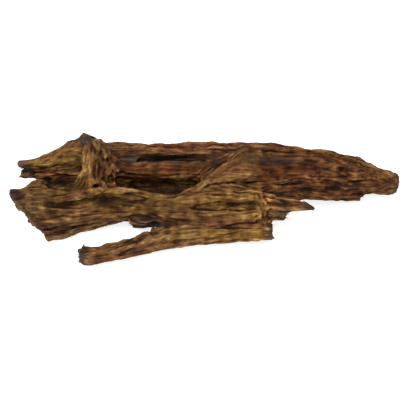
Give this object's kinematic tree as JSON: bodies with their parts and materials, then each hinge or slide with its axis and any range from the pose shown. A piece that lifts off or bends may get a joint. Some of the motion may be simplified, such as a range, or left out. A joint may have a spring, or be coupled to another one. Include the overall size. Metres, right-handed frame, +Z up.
{
  "type": "mangrove root",
  "caption": "Weathered mangrove root: a thick beam with a knot, a broken slab, a forked end and a thin prong, for a tank or terrarium.",
  "frame": {"origin": "on the surface that the root lies on, at the middle of its bounding box", "axes": "+X along the root to the thick end's tip, +Y from the prong to the back, +Z up"},
  "size_m": [0.4, 0.1486, 0.0827],
  "materials": {
    "weathered_wood": "dry, ribbed, weathered wood in tan, olive and red-brown, near black in its cracks and hollows"
  },
  "bodies": {
    "root": {"mangrove_root": "weathered_wood"}
  },
  "joints": []
}
